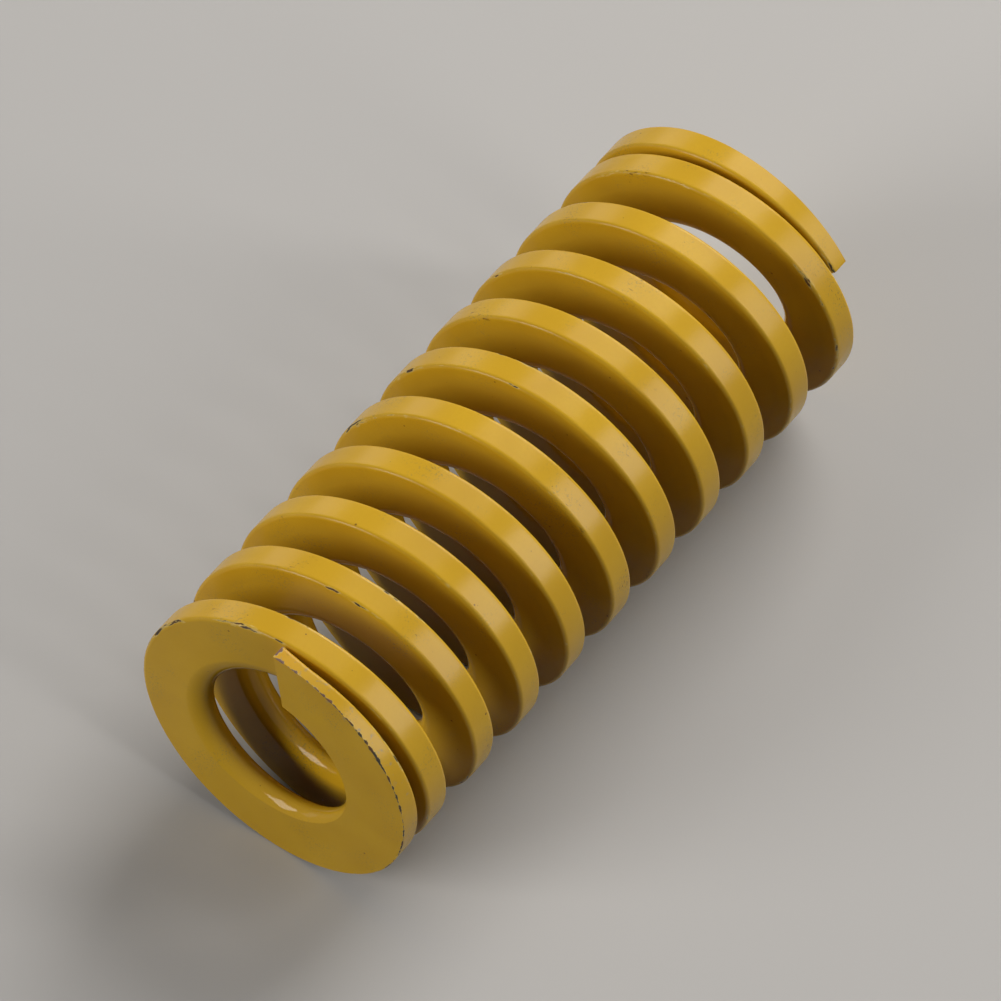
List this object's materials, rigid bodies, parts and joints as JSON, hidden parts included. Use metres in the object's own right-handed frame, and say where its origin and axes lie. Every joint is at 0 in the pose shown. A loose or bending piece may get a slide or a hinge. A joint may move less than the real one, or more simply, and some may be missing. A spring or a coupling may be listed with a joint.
{
  "type": "die spring",
  "caption": "Helical compression spring of rounded flat wire, right-hand wound, with closed and ground ends and an open bore for a guide rod.",
  "frame": {"origin": "centre of the lower ground end face, on the coil axis", "axes": "+Z along the coil axis from the lower ground end to the upper one; +X towards the tip of the wire at the lower end"},
  "size_m": [0.025, 0.025, 0.06],
  "materials": {
    "enamelled_steel": "satin yellow enamel on spring steel, chipped to dark metal along the sharp edges"
  },
  "bodies": {
    "root": {"die_spring": "enamelled_steel"}
  },
  "joints": []
}
